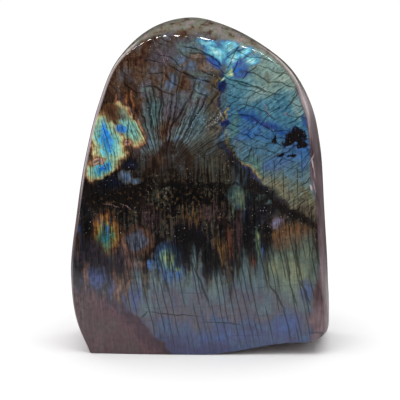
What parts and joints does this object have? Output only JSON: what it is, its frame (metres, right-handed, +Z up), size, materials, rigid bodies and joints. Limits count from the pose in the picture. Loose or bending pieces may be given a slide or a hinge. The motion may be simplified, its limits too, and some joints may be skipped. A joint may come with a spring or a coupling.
{
  "type": "polished stone freeform",
  "caption": "Polished labradorite monolith: an upright rounded freeform with a flat sawn base, for standing on a shelf.",
  "frame": {"origin": "middle of the bounding box's underside, on the surface that the stone stands on", "axes": "+Z up, the polished show face looks along -Y, +X to the right of a viewer facing it"},
  "size_m": [0.127, 0.0616, 0.1584],
  "materials": {
    "polished_labradorite": "polished, with blue, teal and gold flash from within"
  },
  "bodies": {
    "root": {"stone": "polished_labradorite"}
  },
  "joints": []
}
